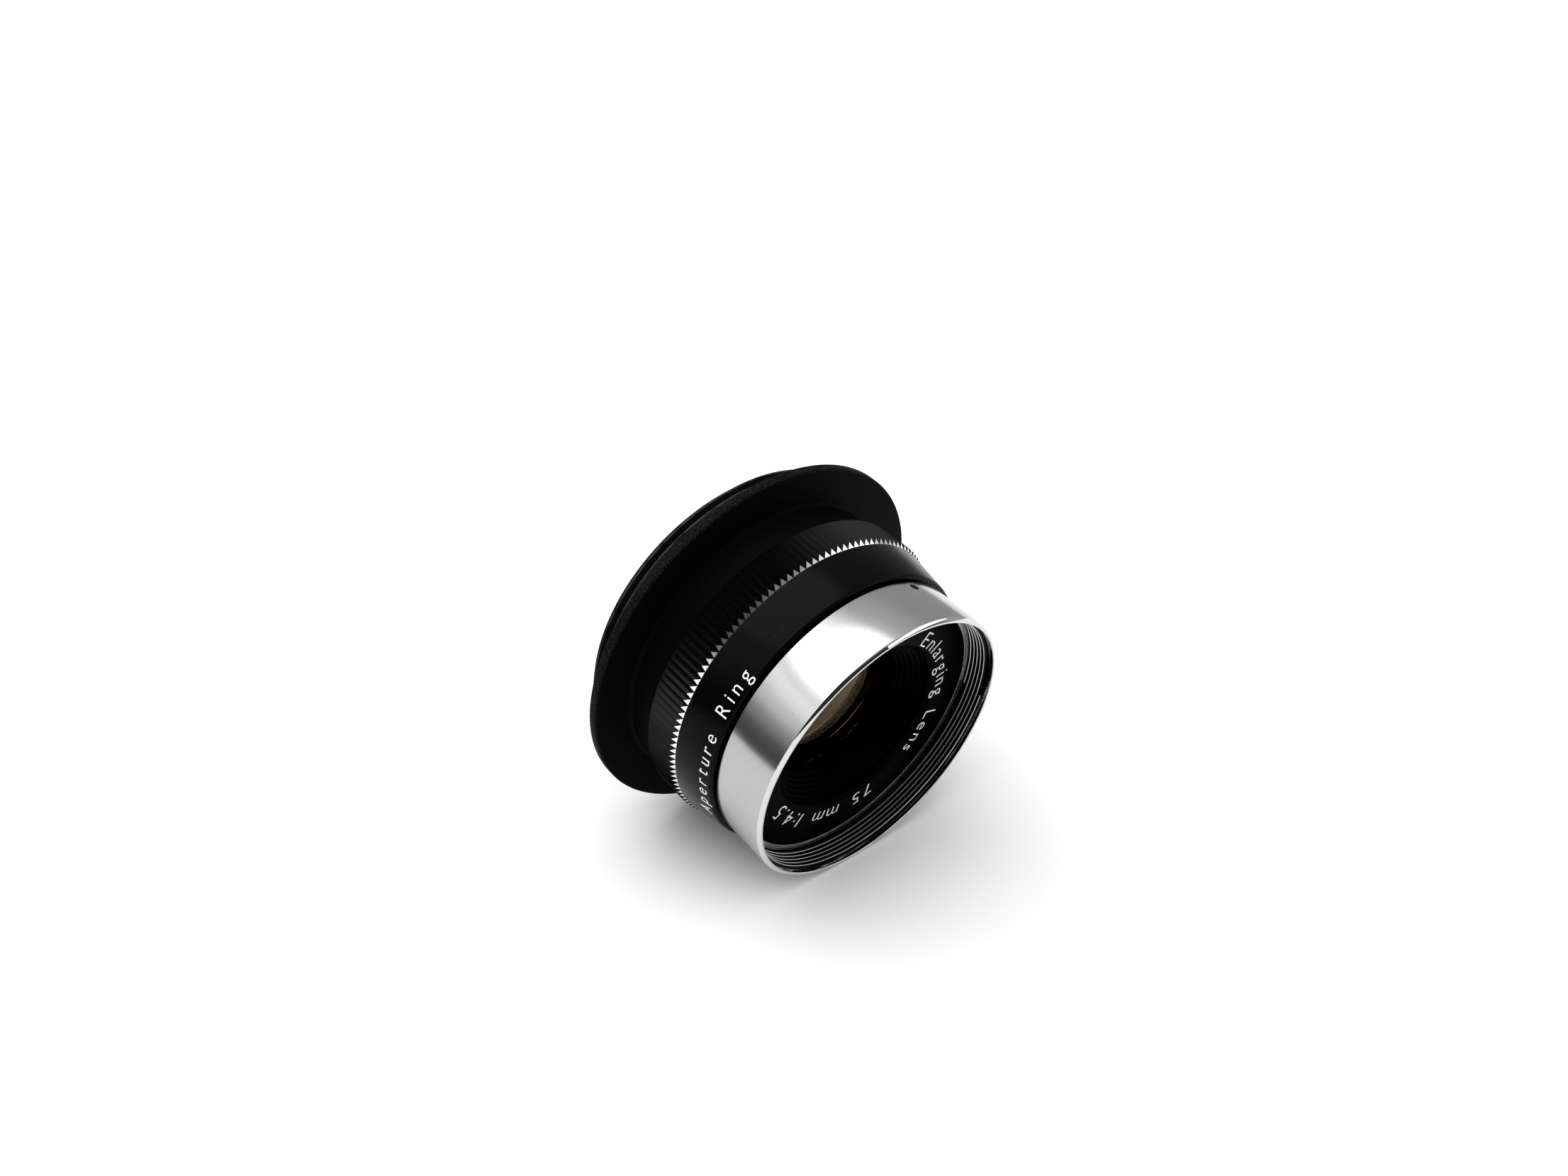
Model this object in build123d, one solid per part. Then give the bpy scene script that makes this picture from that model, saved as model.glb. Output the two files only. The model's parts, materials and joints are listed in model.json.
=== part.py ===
from build123d import *
from math import asin, atan2, degrees, cos, sin, radians
import os

# Enlarger lens, 75 mm, f/4.5, three elements, M39 mount, five-bladed iris.
# It is modelled upright about its optical axis: z = 0 is the flange's seat,
# +z points out of the front.  place() then lays it down on its two rims.

# ---- driving dimensions, mm ----
THREAD_R = 19.5            # M39 x 26 tpi mounting thread
THREAD_LENGTH = 4.0
THREAD_CHAMFER = 0.4
FLANGE_R = 22.1
FLANGE_THICK = 1.1
NECK_R = 17.6
NECK_END = 4.75
TUBE_R = 15.2              # the tube that the aperture ring turns on
TUBE_END = 17.0
FRONT_FACE = 21.7          # front rim above the seat

RING_R = 16.75             # bright front ring
RING_BACK = 14.8
RING_BEVEL = 0.1
RING_BEVEL_LONG = 0.2
FILTER_BORE_R = 15.98      # crests of the M32.5 x 0.5 filter thread
LEAD_IN_R = 16.2
LEAD_IN_DEPTH = 0.6
GRUB_R = 0.5
GRUB_Z = 15.85
GRUB_ANGLE = 71.6
GRUB_SUNK = 0.35           # screw end below the ring's surface
HEX_KEY_R = 0.22
HEX_KEY_DEPTH = 0.4
INDEX_ANGLE = 0.0
INDEX_R = 0.55
INDEX_DEPTH = 0.3

BAND_FRONT = 14.5          # lettered band of the aperture ring
BAND_FRONT_R = 17.25
BAND_BACK = 9.6
BAND_BACK_R = 18.1
SLEEVE_R = 16.9
SLEEVE_BACK = 4.85
RUNNING = 0.1              # radial play of turning rings
GRIP_R = 18.4
GRIP_ROOT_R = 17.9
GRIP_GROOVES = 138

RELIEF_R = 16.3            # groove where the filter thread runs out
RELIEF_WIDTH = 0.3
NAME_RING_R = 15.4
NAME_RING_BORE = 10.4
NAME_RING_FACE = 18.1
NAME_RING_FUNNEL = 0.6     # width and depth of the funnel round its bore
NAME_RING_FUNNEL_DEPTH = 0.5

CELL_R = 14.2              # front cell, screwed into the tube
CELL_BACK = 7.1
CELL_STEPS = 5             # baffle steps in front of the glass
STEP_DEPTH = 0.5
STEP_WIDTH = 0.36
LIP_BACK = 13.1            # the lip that the front element seats against
GLASS_BORE = 9.2
GLASS_GAP = 0.05
FRONT_CLEAR_R = 8.5

# Each element: back edge, front edge, back apex, front apex, as heights.
FRONT_GLASS = (11.8, 12.8, 11.8, 14.0)
MIDDLE_GLASS = (7.75, 10.2, 8.75, 9.4)
REAR_GLASS = (-2.0, 0.4, -3.5, 1.3)
SPACER_BORE = 8.3
FRONT_RETAINER_BORE = 8.0
REAR_RETAINER_BORE = 7.9
REAR_RETAINER_FRONT = -2.3
NOTCH_WIDTH = 1.0
NOTCH_DEPTH = 0.4

IRIS_BORE = 13.6
IRIS_SHELF = 2.7
SHELF_BORE = 11.0
BASE_BORE = 8.0
BASE_TOP = 3.5
BLADES = 5
BLADE_OPEN_R = 7.4
BLADE_EDGE_R = 11.3
BLADE_SPAN = 152
BLADE_LEAD = 6
BLADE_THICK = 0.15
BLADE_PITCH = 0.3
FIRST_BLADE_Z = 3.6
PIVOT_R = 11.8
DRIVE_ANGLE = 20
PIN_R = 0.4
PIN_PLAY = 0.05
PIVOT_PIN_GAP = 0.1        # between the pins' ends and the parts they reach
DRIVE_PIN_GAP = 0.2
EAR_R = 0.9
CAM_BACK = 5.3
CAM_FRONT = 6.5
CAM_BORE = 8.6
CAM_RETAINER_BORE = 10.5
SLOT_HALF_WIDTH = 0.47
RING_TURN = 55
SCREW_ANGLE = 100
SCREW_Z = (CAM_BACK + CAM_FRONT) / 2
SCREW_TIP_R = 0.5
SCREW_BODY_R = 0.8
SCREW_END = 12.5           # where the tip ends inside the cam ring
SCREW_SHOULDER = 15.6      # where the tip meets the thicker body
SCREW_PLAY = 0.15          # round the tip in the barrel's slot

STOPS = (4.5, 5.6, 8, 11, 16)
CLICK_ANGLE = -90
CLICK_RADIUS = 16.3
CLICK_HOLE_END = 1.5
BALL_R = 0.6
DIMPLE_R = 0.4
DIMPLE_TIP_R = 0.1
DIMPLE_HEIGHT = 0.25
DIMPLE_MIDDLE = 0.12

REAR_BORE = 13.0
REAR_CELL_FRONT = 1.9
REAR_CELL_BACK = -5.0
REAR_CELL_BORE = 8.0
REAR_FLANGE_R = 15.0
REAR_HOOD_R = 11.0         # mouth of the hollow behind the rear element
REAR_HOOD_FRONT = -3.3
REAR_GLASS_BORE = 8.6
REAR_GLASS_SEAT = 0.7
REAR_SLOT_R = 13.6
REAR_SLOT_LENGTH = 1.6
REAR_SLOT_WIDTH = 1.2
REAR_SLOT_DEPTH = 0.6

SMALLEST_R = BLADE_OPEN_R * STOPS[0] / STOPS[-1]
CUT = 30.0                 # longer than anything it cuts through

# The lens lies on its flange's front edge and its front rim.
LIE_ANGLE = degrees(atan2(FLANGE_R - RING_R, FRONT_FACE - RING_BEVEL_LONG - FLANGE_THICK))


def turned(*outline):
    """A solid of revolution about the optical axis from (radius, z) points."""
    return revolve(Plane.XZ * make_face(Polyline(*outline, close=True)), Axis.Z)


def tube(outer, inner, back, front):
    return turned((inner, back), (outer, back), (outer, front), (inner, front))


def rod(radius, back, front):
    return Pos(0, 0, back) * extrude(Circle(radius), front - back)


def around(angle, radius, thing):
    """The thing moved out to a radius at an angle about the optical axis."""
    return Rot(0, 0, angle) * Pos(radius, 0, 0) * thing


def radial_rod(radius, inner, outer, angle, z):
    """A round rod that points outwards at the given angle and height."""
    flat = Rot(0, 90, 0) * rod(radius, inner, outer)
    return Rot(0, 0, angle) * Pos(0, 0, z) * flat


def lens_element(rim_r, back_edge, front_edge, back_apex, front_apex):
    """A glass disc whose two faces are spherical, or flat where edge and apex agree."""
    def face(apex, edge):
        if apex == edge:
            return Line((0, apex), (rim_r, edge))
        return TangentArc((0, apex), (rim_r, edge), tangent=(1, 0))
    outline = Curve() + [
        face(back_apex, back_edge),
        Line((rim_r, back_edge), (rim_r, front_edge)),
        face(front_apex, front_edge),
        Line((0, front_apex), (0, back_apex)),
    ]
    return revolve(Plane.XZ * make_face(outline), Axis.Z)


def blade_turn_for(hole_r):
    """How far a blade turns on its pivot to leave a hole of this radius."""
    return degrees(2 * asin((BLADE_OPEN_R - hole_r) / (2 * PIVOT_R)))


BLADE_TURN = blade_turn_for(SMALLEST_R)


def ring_turn_for(stop):
    """How far the aperture ring turns from wide open to this stop."""
    hole_r = BLADE_OPEN_R * STOPS[0] / stop
    return RING_TURN * blade_turn_for(hole_r) / BLADE_TURN


# ---- barrel ----
def main_barrel():
    body = turned(
        (REAR_BORE, -THREAD_LENGTH), (THREAD_R - THREAD_CHAMFER, -THREAD_LENGTH),
        (THREAD_R, THREAD_CHAMFER - THREAD_LENGTH),
        (THREAD_R, 0), (FLANGE_R, 0), (FLANGE_R, FLANGE_THICK), (NECK_R, FLANGE_THICK),
        (NECK_R, NECK_END), (TUBE_R, NECK_END), (TUBE_R, TUBE_END), (CELL_R, TUBE_END),
        (CELL_R, CELL_BACK), (IRIS_BORE, CELL_BACK), (IRIS_BORE, IRIS_SHELF),
        (SHELF_BORE, IRIS_SHELF), (SHELF_BORE, REAR_CELL_FRONT), (REAR_BORE, REAR_CELL_FRONT),
    )
    # Slot for the drive screw: its ends stop the aperture ring.
    half = SCREW_TIP_R + SCREW_PLAY
    margin = degrees(half / TUBE_R)
    window = Plane.XZ * Pos((IRIS_BORE + TUBE_R) / 2, SCREW_Z)
    window *= Rectangle(2 * (TUBE_R - IRIS_BORE), 2 * half)
    slot = revolve(window, Axis.Z, RING_TURN + 2 * margin)
    body -= Rot(0, 0, SCREW_ANGLE - margin) * slot
    # Blind hole for the click ball and its spring.
    body -= around(CLICK_ANGLE, CLICK_RADIUS, rod(BALL_R + GLASS_GAP, CLICK_HOLE_END, NECK_END + 1))
    return body


def front_ring():
    body = turned(
        (TUBE_R, RING_BACK), (RING_R, RING_BACK), (RING_R, FRONT_FACE - RING_BEVEL_LONG),
        (RING_R - RING_BEVEL, FRONT_FACE), (LEAD_IN_R, FRONT_FACE), (LEAD_IN_R, FRONT_FACE - LEAD_IN_DEPTH),
        (FILTER_BORE_R, FRONT_FACE - LEAD_IN_DEPTH), (FILTER_BORE_R, NAME_RING_FACE + RELIEF_WIDTH),
        (RELIEF_R, NAME_RING_FACE + RELIEF_WIDTH), (RELIEF_R, NAME_RING_FACE),
        (NAME_RING_R, NAME_RING_FACE), (NAME_RING_R, TUBE_END), (TUBE_R, TUBE_END),
    )
    for side in (0, 180):
        body -= radial_rod(GRUB_R, NAME_RING_BORE, CUT, GRUB_ANGLE + side, GRUB_Z)
    body -= radial_rod(INDEX_R, RING_R - INDEX_DEPTH, CUT, INDEX_ANGLE, GRUB_Z)
    return body


def grub_screws():
    screws = []
    for side in (0, 180):
        end = RING_R - GRUB_SUNK
        screw = radial_rod(GRUB_R, TUBE_R, end, GRUB_ANGLE + side, GRUB_Z)
        screw &= tube(CUT, TUBE_R, 0, CUT)
        hex_key = extrude(RegularPolygon(HEX_KEY_R, 6), CUT)
        hex_key = Pos(end - HEX_KEY_DEPTH, 0, GRUB_Z) * Rot(0, 90, 0) * hex_key
        screws.append(screw - Rot(0, 0, GRUB_ANGLE + side) * hex_key)
    return Compound(children=[solid for screw in screws for solid in screw.solids()])


def index_mark():
    """A paint-filled dot opposite the stop in use."""
    return radial_rod(INDEX_R, RING_R - INDEX_DEPTH, CUT, INDEX_ANGLE, GRUB_Z) & rod(RING_R, 0, CUT)


def name_ring():
    return turned(
        (NAME_RING_BORE, TUBE_END), (NAME_RING_R, TUBE_END), (NAME_RING_R, NAME_RING_FACE),
        (NAME_RING_BORE + NAME_RING_FUNNEL, NAME_RING_FACE),
        (NAME_RING_BORE, NAME_RING_FACE - NAME_RING_FUNNEL_DEPTH),
    )


# ---- front group ----
def front_cell():
    steps = []
    for i in range(CELL_STEPS):
        radius = FRONT_CLEAR_R + STEP_WIDTH * (CELL_STEPS - i)
        steps.append((radius, TUBE_END - i * STEP_DEPTH))
        steps.append((radius, TUBE_END - (i + 1) * STEP_DEPTH))
    return turned(
        (CELL_R, CELL_BACK), (CELL_R, TUBE_END), *steps,
        (FRONT_CLEAR_R, TUBE_END - CELL_STEPS * STEP_DEPTH), (FRONT_CLEAR_R, LIP_BACK),
        (GLASS_BORE, LIP_BACK), (GLASS_BORE, CELL_BACK),
    )


def front_element():
    return lens_element(GLASS_BORE - GLASS_GAP, *FRONT_GLASS)


def spacer_ring():
    middle_front_edge = MIDDLE_GLASS[1]
    front_back_edge = FRONT_GLASS[0]
    return tube(GLASS_BORE, SPACER_BORE, middle_front_edge, front_back_edge)


def middle_element():
    return lens_element(GLASS_BORE - GLASS_GAP, *MIDDLE_GLASS)


def spanner_ring(outer, inner, back, front):
    """A threaded retaining ring with two spanner notches in its back face."""
    notch = Pos(0, 0, back) * Box(2 * CUT, NOTCH_WIDTH, 2 * NOTCH_DEPTH)
    return tube(outer, inner, back, front) - notch


def cam_retainer():
    return tube(IRIS_BORE, CAM_RETAINER_BORE, CAM_FRONT + RUNNING, CELL_BACK)


# ---- iris ----
def iris_base_ring():
    ring = tube(IRIS_BORE, BASE_BORE, IRIS_SHELF, BASE_TOP)
    for i in range(BLADES):
        ring -= around(360 / BLADES * i, PIVOT_R, rod(PIN_R + PIN_PLAY, 0, CUT))
    return ring


def iris_blade(index):
    """A crescent leaf: a pivot pin underneath, a drive pin on top."""
    bottom = FIRST_BLADE_Z + BLADE_PITCH * index
    top = bottom + BLADE_THICK
    section = Plane.XZ * Pos((BLADE_OPEN_R + BLADE_EDGE_R) / 2, (bottom + top) / 2)
    section *= Rectangle(BLADE_EDGE_R - BLADE_OPEN_R, BLADE_THICK)
    leaf = Rot(0, 0, -BLADE_LEAD) * revolve(section, Axis.Z, BLADE_SPAN + BLADE_LEAD)
    for angle in (0, DRIVE_ANGLE):
        leaf += around(angle, PIVOT_R, rod(EAR_R, bottom, top))
    leaf += around(0, PIVOT_R, rod(PIN_R, IRIS_SHELF + PIVOT_PIN_GAP, top))
    leaf += around(DRIVE_ANGLE, PIVOT_R, rod(PIN_R, bottom, CAM_FRONT - DRIVE_PIN_GAP))
    return Rot(0, 0, 360 / BLADES * index) * leaf


def drive_pin_in_cam(fraction):
    """Where a drive pin stands in the cam ring, from wide open (0) to closed (1)."""
    pivot = Vector(PIVOT_R, 0)
    pin = Vector(PIVOT_R * cos(radians(DRIVE_ANGLE)), PIVOT_R * sin(radians(DRIVE_ANGLE)))
    swung = pivot + (pin - pivot).rotate(Axis.Z, BLADE_TURN * fraction)
    return swung.rotate(Axis.Z, -RING_TURN * fraction)


def cam_ring():
    ring = tube(IRIS_BORE - RUNNING, CAM_BORE, CAM_BACK, CAM_FRONT)
    path = ThreePointArc(drive_pin_in_cam(0), drive_pin_in_cam(0.5), drive_pin_in_cam(1))
    slot = extrude(SlotArc(path, 2 * SLOT_HALF_WIDTH), CUT)
    for i in range(BLADES):
        ring -= Rot(0, 0, 360 / BLADES * i) * slot
    return ring - radial_rod(SCREW_TIP_R, SCREW_END, CUT, SCREW_ANGLE, SCREW_Z)


def drive_screw():
    tip = radial_rod(SCREW_TIP_R, SCREW_END, SCREW_SHOULDER, SCREW_ANGLE, SCREW_Z)
    body = radial_rod(SCREW_BODY_R, SCREW_SHOULDER, CUT, SCREW_ANGLE, SCREW_Z) & rod(SLEEVE_R, 0, CUT)
    return tip + body


# ---- aperture ring ----
def aperture_ring():
    bore = TUBE_R + RUNNING
    ring = turned(
        (bore, SLEEVE_BACK), (SLEEVE_R, SLEEVE_BACK), (SLEEVE_R, BAND_BACK), (BAND_BACK_R, BAND_BACK),
        (BAND_FRONT_R, BAND_FRONT), (bore, BAND_FRONT),
    )
    ring -= radial_rod(SCREW_TIP_R, SCREW_END, CUT, SCREW_ANGLE, SCREW_Z)
    ring -= radial_rod(SCREW_BODY_R, SCREW_SHOULDER, CUT, SCREW_ANGLE, SCREW_Z)
    dimple = Cone(DIMPLE_R, DIMPLE_TIP_R, DIMPLE_HEIGHT)
    for stop in STOPS:
        angle = CLICK_ANGLE - ring_turn_for(stop)
        ring -= around(angle, CLICK_RADIUS, Pos(0, 0, SLEEVE_BACK + DIMPLE_MIDDLE) * dimple)
    return ring


def grip_ring():
    corners = []
    for i in range(2 * GRIP_GROOVES):
        radius = GRIP_R if i % 2 else GRIP_ROOT_R
        corners.append(Vector(radius, 0).rotate(Axis.Z, 180 / GRIP_GROOVES * i))
    ridged = extrude(make_face(Polyline(*corners, close=True)), BAND_BACK)
    chamfer = GRIP_R - GRIP_ROOT_R
    envelope = turned(
        (SLEEVE_R, SLEEVE_BACK), (GRIP_ROOT_R, SLEEVE_BACK), (GRIP_R, SLEEVE_BACK + chamfer),
        (GRIP_R, BAND_BACK - chamfer), (GRIP_ROOT_R, BAND_BACK), (SLEEVE_R, BAND_BACK),
    )
    return ridged & envelope


def click_ball():
    return around(CLICK_ANGLE, CLICK_RADIUS, Pos(0, 0, NECK_END - GLASS_GAP - BALL_R) * Sphere(BALL_R))


def click_spring():
    wire = 0.09
    coil_r = 0.45
    height = 1.9
    pitch = 0.38
    clearance = 0.01
    path = Helix(pitch=pitch, height=height, radius=coil_r)
    end = Plane(origin=path @ 0, z_dir=path % 0)
    coil = sweep(end * Circle(wire), path=path)
    return around(CLICK_ANGLE, CLICK_RADIUS, Pos(0, 0, CLICK_HOLE_END + wire + clearance) * coil)


# ---- rear group ----
def rear_cell():
    body = turned(
        (REAR_CELL_BORE, REAR_CELL_FRONT), (REAR_BORE, REAR_CELL_FRONT), (REAR_BORE, -THREAD_LENGTH),
        (REAR_FLANGE_R, -THREAD_LENGTH), (REAR_FLANGE_R, REAR_CELL_BACK), (REAR_HOOD_R, REAR_CELL_BACK),
        (REAR_GLASS_BORE, REAR_HOOD_FRONT), (REAR_GLASS_BORE, REAR_GLASS_SEAT),
        (REAR_CELL_BORE, REAR_GLASS_SEAT),
    )
    slot = Pos(0, 0, REAR_CELL_BACK) * Box(REAR_SLOT_LENGTH, REAR_SLOT_WIDTH, 2 * REAR_SLOT_DEPTH)
    for side in (0, 180):
        body -= around(side, REAR_SLOT_R, slot)
    return body


def rear_element():
    return lens_element(REAR_GLASS_BORE - GLASS_GAP, *REAR_GLASS)


PARTS = {
    "main_barrel": main_barrel(),
    "front_ring": front_ring(),
    "front_ring_grub_screws": grub_screws(),
    "index_mark": index_mark(),
    "name_ring": name_ring(),
    "front_cell": front_cell(),
    "front_element": front_element(),
    "spacer_ring": spacer_ring(),
    "middle_element": middle_element(),
    "front_retaining_ring": spanner_ring(GLASS_BORE, FRONT_RETAINER_BORE, CELL_BACK, MIDDLE_GLASS[0]),
    "cam_retainer": cam_retainer(),
    "iris_base_ring": iris_base_ring(),
    "cam_ring": cam_ring(),
    "drive_screw": drive_screw(),
    "aperture_ring": aperture_ring(),
    "grip_ring": grip_ring(),
    "click_ball": click_ball(),
    "click_spring": click_spring(),
    "rear_cell": rear_cell(),
    "rear_element": rear_element(),
    "rear_retaining_ring": spanner_ring(
        REAR_GLASS_BORE, REAR_RETAINER_BORE, REAR_HOOD_FRONT, REAR_RETAINER_FRONT),
}
for number in range(BLADES):
    PARTS[f"iris_blade_{number + 1}"] = iris_blade(number)


def place(part):
    """Lay the lens on its rims: the front points to -Y and dips by LIE_ANGLE."""
    return Rot(90 + LIE_ANGLE, 0, 0) * part


os.makedirs("parts", exist_ok=True)
for name, part in PARTS.items():
    export_step(place(part), f"parts/{name}.step")
print("lies at", LIE_ANGLE, "degrees; blade turn", BLADE_TURN)
print("ring turn for each stop", [round(ring_turn_for(stop), 2) for stop in STOPS])
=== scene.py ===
import json
import math

import bpy
from mathutils import Matrix, Vector


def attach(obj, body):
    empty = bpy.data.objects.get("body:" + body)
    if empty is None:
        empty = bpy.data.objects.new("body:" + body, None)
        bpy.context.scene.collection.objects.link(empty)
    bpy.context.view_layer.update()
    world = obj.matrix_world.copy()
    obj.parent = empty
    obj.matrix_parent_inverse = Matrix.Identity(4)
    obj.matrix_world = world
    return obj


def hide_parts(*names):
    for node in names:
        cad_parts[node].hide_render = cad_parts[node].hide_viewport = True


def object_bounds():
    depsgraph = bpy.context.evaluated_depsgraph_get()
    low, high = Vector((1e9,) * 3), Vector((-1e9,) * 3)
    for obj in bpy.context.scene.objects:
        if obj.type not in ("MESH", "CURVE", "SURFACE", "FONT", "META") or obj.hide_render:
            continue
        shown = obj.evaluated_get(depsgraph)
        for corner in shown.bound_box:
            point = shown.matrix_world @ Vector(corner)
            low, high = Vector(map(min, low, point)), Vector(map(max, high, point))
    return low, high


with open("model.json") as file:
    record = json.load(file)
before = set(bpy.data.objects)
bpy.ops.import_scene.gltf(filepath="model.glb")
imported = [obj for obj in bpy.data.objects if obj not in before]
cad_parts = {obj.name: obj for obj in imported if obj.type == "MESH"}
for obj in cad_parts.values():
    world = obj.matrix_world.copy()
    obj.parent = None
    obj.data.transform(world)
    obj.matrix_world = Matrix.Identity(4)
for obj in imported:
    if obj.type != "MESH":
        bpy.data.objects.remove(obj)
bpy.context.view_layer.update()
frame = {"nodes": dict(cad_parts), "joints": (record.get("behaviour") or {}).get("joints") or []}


# ---- places and sizes, millimetres along and about the optical axis ----
# Heights are above the flange's seat, towards the front of the lens.
MM = 0.001
AXIS = Vector(frame["joints"][0]["axis"])
LEAN = math.atan2(-AXIS.y, AXIS.z)

FIT = 0.02          # gap left round a piece that sits inside another
EDGE = 0.12         # chamfer on turned edges
SAME = 0.001        # points nearer than this are one place

THREAD_R = 19.5
THREAD_CORE_R = 18.9
THREAD_PITCH = 25.4 / 26
THREAD_TURNS = 3
THREAD_BACK = -4.0
THREAD_LEAD = 0.15  # chamfer at the thread's end
FLANGE_R = 22.1
FLANGE_THICK = 1.1
NECK_R = 17.6
NECK_FILLET = 0.35
NECK_END = 4.75
NECK_EDGE = 0.1
TUBE_R = 15.2
TUBE_END = 17.0
CELL_R = 14.2
CELL_BACK = 7.1
CELL_LIP = 13.1
CELL_STEPS = 5
STEP = 0.5
STEP_WIDTH = 0.36
IRIS_BORE = 13.6
IRIS_SHELF = 2.7
SHELF_BORE = 11.0

REAR_BORE = 13.0
REAR_CELL_FRONT = 1.9
REAR_CELL_BACK = -5.0
REAR_CELL_BORE = 8.0
REAR_FLANGE_R = 15.0
REAR_GLASS_SEAT = 0.7
REAR_HOOD = ((11.2, -5.0), (10.6, -4.5), (10.2, -4.5), (9.7, -4.0), (9.3, -4.0), (8.6, -3.3))
REAR_SLOT_R = 13.6
REAR_SLOT = (1.6, 1.2, 1.2)
RETAINER_R = 8.58
RETAINER_BORE = 7.9
RETAINER_BACK = -3.3
RETAINER_FRONT = -2.3
NOTCH = (24, 1.0, 0.8)

FRONT_FACE = 21.7
RING_R = 16.75
RING_BACK = 14.8
RIM_BORE = 16.2
LIP_BACK = 21.3     # where the polished lip starts
LIP_CUT = 0.32      # its outer chamfer
FILTER_CREST_R = 15.98
FILTER_ROOT_R = 16.28
FILTER_PITCH = 0.5
FILTER_TURNS = 5
FILTER_BACK = 18.42
GRUB_Z = 15.85
GRUB_ANGLE = 71.6
GRUB_R = 0.5
GRUB_SUNK = 0.35
KEY_R = 0.24        # hexagon socket in the grub screw
KEY_END = 0.8       # its bottom below the ring's surface
INDEX_ANGLE = 0.0
INDEX_R = 0.55
INDEX_DEPTH = 0.12
INDEX_BACK = 0.25
INDEX_SUNK = 0.05

BAND_FRONT = 14.5
BAND_FRONT_R = 17.25
BAND_BACK = 9.6
BAND_BACK_R = 18.1
SLEEVE_R = 16.9
SLEEVE_BACK = 4.85
BAND_BORE = 15.3
GRIP_R = 18.4
GRIP_ROOT_R = 17.9
GROOVES = 138

NAME_RING_R = 15.4
NAME_RING_BORE = 10.4
NAME_RING_FACE = 18.1
NAME_FUNNEL = 0.6   # the slope round its bore, across and down
NAME_FUNNEL_DEPTH = 0.5
GLASS_R = 9.15
GLASS_GAP = 0.05
FRONT_CLEAR_R = 8.5
REAR_GLASS_R = 8.55

# Each glass: rim radius, back edge, front edge, back apex, front apex.
FRONT_GLASS = (GLASS_R, 11.8, 12.8, 11.8, 14.0)
MIDDLE_GLASS = (GLASS_R, 7.75, 10.2, 8.75, 9.4)
REAR_GLASS = (REAR_GLASS_R, -2.0, 0.4, -3.5, 1.3)

FINE_SIDES = 288    # sides of a large turned edge
CELL_SIDES = 192
GLASS_SIDES = 128


# ---- modelling, done about an upright axis and laid down at the end ----
def start(piece_name):
    piece = bpy.context.object
    piece.name = piece_name
    piece.data.name = piece_name
    bpy.ops.object.mode_set(mode="EDIT")
    bpy.ops.mesh.select_mode(type="EDGE")
    bpy.ops.mesh.select_all(action="SELECT")
    return piece


def deselect():
    bpy.ops.object.select_all(action="DESELECT")


def make_only(piece):
    deselect()
    piece.select_set(True)
    bpy.context.view_layer.objects.active = piece


def choose_faces(piece, test):
    """Select the faces that pass a test of place and normal, and stay in edit mode."""
    bpy.ops.object.mode_set(mode="EDIT")
    bpy.ops.mesh.select_mode(type="FACE")
    bpy.ops.mesh.select_all(action="DESELECT")
    bpy.ops.object.mode_set(mode="OBJECT")
    for face in piece.data.polygons:
        face.select = test(face.center / MM, face.normal)
    bpy.ops.object.mode_set(mode="EDIT")


def choose_corners(piece, test):
    """Select the corners that pass a test of place, and stay in edit mode."""
    bpy.ops.object.mode_set(mode="EDIT")
    bpy.ops.mesh.select_mode(type="VERT")
    bpy.ops.mesh.select_all(action="DESELECT")
    bpy.ops.object.mode_set(mode="OBJECT")
    for corner in piece.data.vertices:
        corner.select = test(corner.co / MM)
    bpy.ops.object.mode_set(mode="EDIT")


def close_ring():
    """Join the two open edges of a ring."""
    bpy.ops.mesh.select_mode(type="EDGE")
    bpy.ops.mesh.select_all(action="DESELECT")
    bpy.ops.mesh.select_non_manifold()
    bpy.ops.mesh.bridge_edge_loops()


def scale_out(scale):
    """Move what is selected away from the optical axis, or towards it."""
    bpy.ops.transform.resize(value=(scale, scale, 1), center_override=(0, 0, 0))


def pull_up(rise):
    bpy.ops.mesh.extrude_region_move(TRANSFORM_OT_translate={"value": (0, 0, rise * MM)})


def finish_shell(piece, bevel=0.06, sharp=35):
    """Merge, face outwards, round the edges by the bevel's width and shade."""
    bpy.ops.object.mode_set(mode="EDIT")
    bpy.ops.mesh.select_all(action="SELECT")
    bpy.ops.mesh.remove_doubles(threshold=SAME * MM)
    bpy.ops.mesh.normals_make_consistent(inside=False)
    bpy.ops.object.mode_set(mode="OBJECT")
    make_only(piece)
    if bevel:
        edge = piece.modifiers.new("Edge", "BEVEL")
        edge.limit_method = "ANGLE"
        edge.angle_limit = math.radians(30)
        edge.width = bevel * MM
        edge.segments = 2
        bpy.ops.object.modifier_apply(modifier=edge.name)
    bpy.ops.object.shade_smooth_by_angle(angle=math.radians(sharp))
    return piece


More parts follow.
